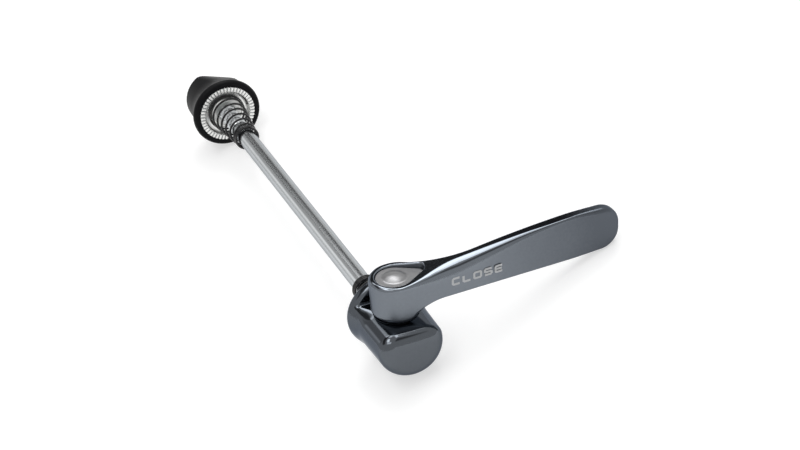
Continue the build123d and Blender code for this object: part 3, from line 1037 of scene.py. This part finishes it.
# %% Rings of teeth
teeth = Recipe("Ring of teeth", {"Teeth": "Int", "Tooth": "Object", "Finish": "Material"})
circle = teeth.add("GeometryNodeMeshCircle", {"Vertices": teeth.input("Teeth"), "Radius": 1.0})
spoke = {"Vector": teeth.add("GeometryNodeInputPosition")}
outwards = teeth.add("FunctionNodeAlignRotationToVector", spoke, axis="X", pivot_axis="Z")
pattern = teeth.add("GeometryNodeObjectInfo", {"Object": teeth.input("Tooth")}).out("Geometry")
stand = {"Points": circle, "Instance": pattern, "Rotation": outwards}
stood = teeth.add("GeometryNodeInstanceOnPoints", stand)
back = {"Instances": stood, "Translation": (-1.0, 0.0, 0.0), "Local Space": True}
teeth.finish(teeth.add("GeometryNodeTranslateInstances", back))


def ring_of_teeth(name, inner, outer, place):
    single = add_object(name + "_tooth", tooth_mesh(name + "_tooth", inner, outer))
    bpy.context.view_layer.update()
    ring = teeth.make(name, {"Teeth": tooth_count, "Tooth": single, "Finish": tooth_zinc}, place)
    bpy.data.objects.remove(single)
    return ring


nut_teeth = ring_of_teeth("nut_teeth", ring_inner, ring_radius, along_rod(ring_floor, 90))
disc_teeth = ring_of_teeth("clamp_disc_teeth", disc_inner, disc_radius, along_rod(-tooth_depth, -90))

# %% [markdown]
# ## The word on the lever
# A word printed on the arm tells a rider which side shows when the lever is shut. A Text object would
# bring strokes of its own. These letters are wide and square with round corners, and every stroke is
# equally thick, so each letter is a bent line: a recipe rounds its corners and sweeps a flat ribbon
# along it.

# %% Letters as strokes
letter_height, letter_width, letter_step = 2.2, 2.4, 2.85
stroke, stroke_corner = 0.6, 0.24
word = "CLOSE"
# Corner points of each stroke in a unit box, and whether the stroke closes
letter_strokes = {
    "C": [([(1, 0), (0, 0), (0, 1), (1, 1)], False)],
    "L": [([(0, 1), (0, 0), (1, 0)], False)],
    "O": [([(1, 0), (1, 1), (0, 1), (0, 0)], True)],
    "S": [([(0, 0), (1, 0), (1, 0.5), (0, 0.5), (0, 1), (1, 1)], False)],
    "E": [([(1, 0), (0, 0), (0, 1), (1, 1)], False), ([(0.1, 0.5), (0.92, 0.5)], False)],
}
strokes = bpy.data.curves.new("word_strokes", "CURVE")
strokes.dimensions = "3D"
for index, letter in enumerate(word):
    for bends, closes in letter_strokes[letter]:
        spline = strokes.splines.new("POLY")
        spline.points.add(len(bends) - 1)
        spline.use_cyclic_u = closes
        for point, (u, v) in zip(spline.points, bends):
            across = stroke / 2 + u * (letter_width - stroke) + index * letter_step
            point.co = (across, stroke / 2 + v * (letter_height - stroke), 0, 1)
print(f"{len(strokes.splines)} strokes spell {word}")

# %% Ribbon recipe
ribbon = Recipe("Printed ribbon", {
    "Strokes": "Object", "Width": "Float", "Corner": "Float", "Finish": "Material",
})
bent = ribbon.add("GeometryNodeObjectInfo", {"Object": ribbon.input("Strokes")}).out("Geometry")
bent = {"Curve": bent, "Radius": ribbon.input("Corner"), "Limit Radius": True}
bent = ribbon.add("GeometryNodeFilletCurve", bent)
bent = ribbon.add("GeometryNodeSetCurveNormal", {"Curve": bent}, mode="Z_UP")
half_ribbon = ribbon.input("Width") * 0.5
ribbon_edges = {
    "Start": ribbon.add("ShaderNodeCombineXYZ", {"X": half_ribbon * -1.0}),
    "End": ribbon.add("ShaderNodeCombineXYZ", {"X": half_ribbon}),
}
ribbon_line = ribbon.add("GeometryNodeCurvePrimitiveLine", ribbon_edges)
ribbon.finish(ribbon.add("GeometryNodeCurveToMesh", {"Curve": bent, "Profile Curve": ribbon_line}))

# %% Print the word
word_start, word_level = 11.9, 11.3
ink_thickness = 0.012
stroke_holder = add_object("word_strokes", strokes)
bpy.context.view_layer.update()
front_lean = Matrix.Rotation(lean, 4, "Z")
draft_lean = Matrix.Rotation(radians(90) + atan2(draft, 1), 4, "X")
face_reach = flat_end[0] + (word_level - barrel_bottom) * draft
word_spot = Matrix.Translation((word_start, -face_reach - ink_thickness, word_level))
word_place = Matrix.Translation((0, cam_station, 0)) @ front_lean @ word_spot @ draft_lean
lettering = ribbon.make("closed_side_word", {
    "Strokes": stroke_holder, "Width": stroke, "Corner": stroke_corner, "Finish": print_ink,
}, word_place)
bpy.data.objects.remove(stroke_holder)

# %% [markdown]
# ## Put each piece on its body
# Every piece rides on the CAD body it belongs to, so that it moves with the joints. Parenting by hand
# would do, but a table shows what belongs where: piece, body, the CAD solid that it hides, slot and
# finish.

# %% Ride and replace
dressed = [
    (lever, "lever", "lever", "gunmetal", lever_gunmetal),
    (cam, "lever", "cam_shaft", "steel", satin),
    (lettering, "lever", None, "gunmetal", None),
    (housing, "housing", "cam_housing", "gunmetal", gunmetal),
    (disc, "housing", "clamp_disc", "zinc", zinc),
    (disc_teeth, "housing", None, "zinc", None),
    (lever_spring, "housing", "lever_spring", "spring_black", None),
    (rod, "rod", "skewer_rod", "steel", steel),
    (eye, "rod", None, "steel", steel),
    (nut_spring, "nut_carrier", "nut_spring", "spring_black", None),
    (cover, "nut", "nut_cover", "black_cover", moulding),
    (insert, "nut", "nut_insert", "zinc", zinc),
    (nut_teeth, "nut", None, "zinc", None),
    (lock_ring, "nut", "nut_lock_ring", "nylon", blue_nylon),
]


def coat(piece, material):
    piece.data.materials.clear()
    piece.data.materials.append(material)


for piece, body, node, slot, material in dressed:
    if material is not None:
        coat(piece, material)
    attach(piece, body)
    if node is not None:
        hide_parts(node)
coat(nodes["thrust_washer"], gunmetal)
coat(nodes["cam_retaining_pin"], satin)
print(f"{len(dressed)} pieces ride on {len({entry[1] for entry in dressed})} bodies")

# %% [markdown]
# ## Floor
# The ground is white. A white floor under enough light would burn out the part, so the floor adds a
# little light of its own, which only the camera and reflections see, and keeps a soft shadow.

# %% Floor
floor_level = cad_box[0][2] - 0.00005
floor_reach = 0.9
floor_sides = ((-1, -1), (1, -1), (1, 1), (-1, 1))
floor_corners = [(x * floor_reach, y * floor_reach, floor_level) for x, y in floor_sides]
floor_mesh = bpy.data.meshes.new("floor")
floor_mesh.from_pydata(floor_corners, [], [(0, 1, 2, 3)])
floor = add_object("floor", floor_mesh)
ground = bpy.data.materials.new("white_ground")
ground_graph = fresh_graph(ground)
path = ground_graph.add("ShaderNodeLightPath")
seen = path.out("Is Camera Ray").math("MAXIMUM", path.out("Is Glossy Ray"))
seen = seen.math("MAXIMUM", path.out("Is Transmission Ray"))
plain = ground_graph.add("ShaderNodeBsdfDiffuse", {"Color": (0.8, 0.8, 0.8, 1)})
shadow = ground_graph.add("ShaderNodeBsdfDiffuse", {"Color": (0.56, 0.56, 0.56, 1)})
glow = ground_graph.add("ShaderNodeEmission", {"Color": (1, 1, 1, 1), "Strength": 0.52})
lit = ground_graph.add("ShaderNodeAddShader", {0: shadow, 1: glow})
surface = ground_graph.add("ShaderNodeMixShader", {"Fac": seen, 1: plain, 2: lit})
ground_graph.add("ShaderNodeOutputMaterial", {"Surface": surface})
coat(floor, ground)
print(f"the floor lies {(cad_box[0][2] - floor_level) / MM:.2f} mm under the part")

# %% [markdown]
# ## Studio
# Plated metal is only as good as what it reflects. Lamps cannot be dark, so the world is a white
# studio with dark and bright cards, given by their direction from the part. Each is there for one
# gloss or one shade.

# %% Studio cards
studio_level = 0.75
# Azimuth from +Y towards +X, elevation, half width, half height and softness in degrees, then the level
cards = [
    (-22, 34, 20, 12, 6, 0.45),  # grey beside the rod's stripe
    (3, 30, 10, 9, 4, 0.05),  # dark stripe along the rod
    (25, 27, 14, 10, 2, 0.06),  # black top of the lever
    (-42, 57, 28, 12, 5, 0.12),  # dark side of the saddle's corner
    (-32, 21, 8, 9, 4, 1.25),  # bright ridge of the rod
    (133, 49, 14, 10, 6, 0.2),  # dark band above the housing's end
    (78, 61, 12, 6, 3, 4.0),  # bright line above that band
    (43, 50.5, 17, 13, 3, 5.0),  # white band of the thumb rounding
    (7, 44, 9, 5, 3, 3.2),  # thin bright strip along the saddle's edge
    (18, 66, 8, 5, 3, 3.0),  # with the next two, gloss on the saddle's corner
    (-60, 81, 13, 8, 4, 5.0),
    (-140, 68, 14, 8, 4, 3.0),
]


def card(graph, look, azimuth, elevation, half_width, half_height, softness):
    """A soft-edged rectangle in the sky, 1 inside and 0 outside."""
    a, e = radians(azimuth), radians(elevation)
    forward = Vector((sin(a) * cos(e), cos(a) * cos(e), sin(e)))
    side = Vector((cos(a), -sin(a), 0))
    ahead = graph.dot(look, forward)
    mask = ahead.math("GREATER_THAN", 0.0)
    for axis, half_angle in ((side, half_width), (side.cross(forward), half_height)):
        away = (graph.dot(look, axis) / ahead.math("MAXIMUM", 0.02)).math("ABSOLUTE")
        mask = mask * ((tan(radians(half_angle)) - away) / tan(radians(softness))).clamped()
    return mask


# %% Studio
world = bpy.data.worlds.new("studio")
bpy.context.scene.world = world
sky_graph = fresh_graph(world)
look = sky_graph.add("ShaderNodeTexCoord").out("Generated")
sky = None
for *place, level in cards:
    mask = card(sky_graph, look, *place)
    sky = mask * (level - studio_level) + studio_level if sky is None else sky + (level - sky) * mask
straight = sky_graph.add("ShaderNodeLightPath").out("Is Camera Ray")
sky = sky + (1.0 - sky) * straight
light = sky_graph.add("ShaderNodeBackground", {"Color": (1, 1, 1, 1), "Strength": sky})
sky_graph.add("ShaderNodeOutputWorld", {"Surface": light})
print(f"{len(cards)} cards in a studio of {len(world.node_tree.nodes)} nodes")

# %% [markdown]
# ## Camera
# The camera stands where the photograph was taken from. Its place, in upright millimetres, was found
# from the thickness of the rod and the round edges of the nut and the barrel.

# %% Camera
image_width = 800
focal_pixels = 2086.3
camera_spot = Vector((-150.46, -388.50 + cam_station, 274.66))
camera_aim = Vector((6.43, 10.82 + cam_station, 21.01))
camera_tilt = radians(3.094)
camera = bpy.data.cameras.new("camera")
camera.sensor_width = 36.0
camera.lens = camera.sensor_width * focal_pixels / image_width
camera_object = add_object("camera", camera)
camera_turn = (camera_aim - camera_spot).to_track_quat("-Z", "Y").to_matrix().to_4x4()
camera_turn = camera_turn @ Matrix.Rotation(-camera_tilt, 4, "Z")
camera_place = Matrix.Rotation(roll, 4, "Y") @ Matrix.Translation(camera_spot * MM)
camera_object.matrix_world = camera_place @ camera_turn
bpy.context.scene.camera = camera_object
bpy.context.scene.view_settings.view_transform = "Standard"
print(f"lens of {camera.lens:.1f} mm, {(camera_aim - camera_spot).length:.0f} mm from what it looks at")
